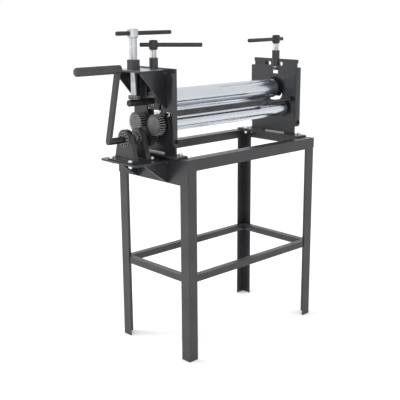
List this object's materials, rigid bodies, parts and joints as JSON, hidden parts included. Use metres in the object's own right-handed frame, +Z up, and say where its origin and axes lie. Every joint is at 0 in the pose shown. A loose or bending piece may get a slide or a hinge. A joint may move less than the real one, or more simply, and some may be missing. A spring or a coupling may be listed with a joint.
{
  "type": "plate bending roll machine",
  "caption": "Hand-cranked three-roll sheet metal bender: geared lower rolls, adjustable top roll and screw-down T-handles on an angle-iron stand",
  "frame": {"origin": "on the floor under the middle of the machine's bounding box, crank and T-handles included", "axes": "+X along the rolls away from the crank, +Y from the operator's side to the rear, +Z up"},
  "size_m": [1.2714, 0.46, 1.428],
  "materials": {
    "black_paint": "satin black powder coat on steel sheet and angle",
    "black_steel": "black oxide on bar and turned parts",
    "grey_steel": "machined gears and rings, slightly oily",
    "bright_steel": "ground and polished roll and screw surface",
    "black_plastic": "moulded handle sleeve"
  },
  "bodies": {
    "root": {"leg_front_left": "black_paint", "leg_front_right": "black_paint", "leg_rear_left": "black_paint", "leg_rear_right": "black_paint", "top_beam_front": "black_paint", "top_beam_rear": "black_paint", "top_beam_left": "black_paint", "top_beam_right": "black_paint", "rail_front": "black_paint", "rail_rear": "black_paint", "rail_left": "black_paint", "rail_right": "black_paint", "apron_plate": "black_paint", "base_plate_left": "black_paint", "base_plate_right": "black_paint", "side_plate_left": "black_paint", "side_plate_right": "black_paint", "lift_screw_boss_left": "black_paint", "lift_screw_boss_right": "black_paint", "tail_top_plate": "black_paint", "tail_gusset_front": "black_paint", "tail_gusset_rear": "black_paint", "tail_screw_boss": "black_paint", "bracket_plate": "black_paint", "bracket_gusset_front": "black_paint", "bracket_gusset_rear": "black_paint", "pedestal_foot": "black_paint", "pedestal_plate_outer": "black_paint", "pedestal_plate_inner": "black_paint", "lower_bearing_front_left": "black_steel", "lower_bearing_rear_left": "black_steel", "lower_bearing_front_right": "black_steel", "lower_bearing_rear_right": "black_steel", "tie_rod": "black_steel", "crank_shaft_bush": "grey_steel", "pedestal_bearing_outer": "grey_steel", "pedestal_bearing_inner": "grey_steel"},
    "front_roll": {"lower_roll_front": "bright_steel", "roll_gear_front": "grey_steel"},
    "rear_roll": {"lower_roll_rear": "bright_steel", "roll_gear_rear": "grey_steel"},
    "crank": {"crank_shaft": "black_steel", "crank_arm": "black_paint", "drive_pinion": "black_steel"},
    "grip": {"crank_grip": "black_plastic"},
    "roll_carriage": {"bearing_block_left": "black_paint", "bearing_block_right": "black_paint", "lift_bridge_left": "black_steel", "lift_bridge_right": "black_steel"},
    "top_roll": {"top_roll": "bright_steel", "top_roll_tail_bar": "black_steel"},
    "left_lift_screw": {"lift_screw_left": "bright_steel", "lift_screw_head_left": "black_steel"},
    "right_lift_screw": {"lift_screw_right": "bright_steel", "lift_screw_head_right": "black_steel"},
    "left_t_bar": {"lift_t_bar_left": "black_steel"},
    "right_t_bar": {"lift_t_bar_right": "black_steel"},
    "tail_thrust": {"tail_thrust_washers": "grey_steel"},
    "tail_screw": {"tail_screw": "bright_steel"},
    "tail_t_bar": {"tail_t_bar": "black_steel"}
  },
  "joints": [
    {"name": "front_roll_spin", "type": "hinge", "parent": "root", "child": "front_roll", "pos_m": [0.1933, -0.0675, 1.0341], "axis": [1, 0, 0], "continuous": true},
    {"name": "rear_roll_spin", "type": "hinge", "parent": "root", "child": "rear_roll", "pos_m": [0.1933, 0.0555, 1.0341], "axis": [1, 0, 0], "continuous": true},
    {"name": "crank_spin", "type": "hinge", "parent": "root", "child": "crank", "pos_m": [-0.3067, -0.006, 0.979], "axis": [1, 0, 0], "continuous": true},
    {"name": "grip_spin", "type": "hinge", "parent": "crank", "child": "grip", "pos_m": [-0.5417, -0.08003, 1.27591], "axis": [1, 0, 0], "continuous": true},
    {"name": "top_roll_lift", "type": "slide", "parent": "root", "child": "roll_carriage", "axis": [0, 0, 1], "range_m": [-0.015, 0]},
    {"name": "top_roll_spin", "type": "hinge", "parent": "roll_carriage", "child": "top_roll", "pos_m": [0.1933, -0.006, 1.127], "axis": [1, 0, 0], "continuous": true},
    {"name": "right_screw_turn", "type": "hinge", "parent": "roll_carriage", "child": "right_lift_screw", "pos_m": [0.5833, -0.006, 1.3], "axis": [0, 0, 1], "range_deg": [-1345, 0]},
    {"name": "left_screw_turn", "type": "hinge", "parent": "roll_carriage", "child": "left_lift_screw", "pos_m": [-0.1907, -0.006, 1.3], "axis": [0, 0, 1], "range_deg": [-115, 205]},
    {"name": "right_t_bar_slide", "type": "slide", "parent": "right_lift_screw", "child": "right_t_bar", "axis": [-0.9952, -0.0976, 0], "range_m": [-0.195, 0.03]},
    {"name": "left_t_bar_slide", "type": "slide", "parent": "left_lift_screw", "child": "left_t_bar", "axis": [0.7071, -0.7071, 0], "range_m": [-0.183, 0.035]},
    {"name": "tail_thrust_lift", "type": "slide", "parent": "root", "child": "tail_thrust", "axis": [0, 0, 1], "range_m": [0, 0.03]},
    {"name": "tail_screw_turn", "type": "hinge", "parent": "tail_thrust", "child": "tail_screw", "pos_m": [-0.2987, -0.006, 1.3], "axis": [0, 0, 1], "range_deg": [0, 2695]},
    {"name": "tail_t_bar_slide", "type": "slide", "parent": "tail_screw", "child": "tail_t_bar", "axis": [1, 0, 0], "range_m": [-0.177, 0.057]}
  ],
  "couplings": [
    {"joint": "rear_roll_spin", "follows": "front_roll_spin", "ratio": 1},
    {"joint": "crank_spin", "follows": "front_roll_spin", "ratio": -1},
    {"joint": "top_roll_lift", "follows": "right_screw_turn", "m_per_rad": 0.00063662},
    {"joint": "tail_thrust_lift", "follows": "tail_screw_turn", "m_per_rad": 0.00063662}
  ]
}
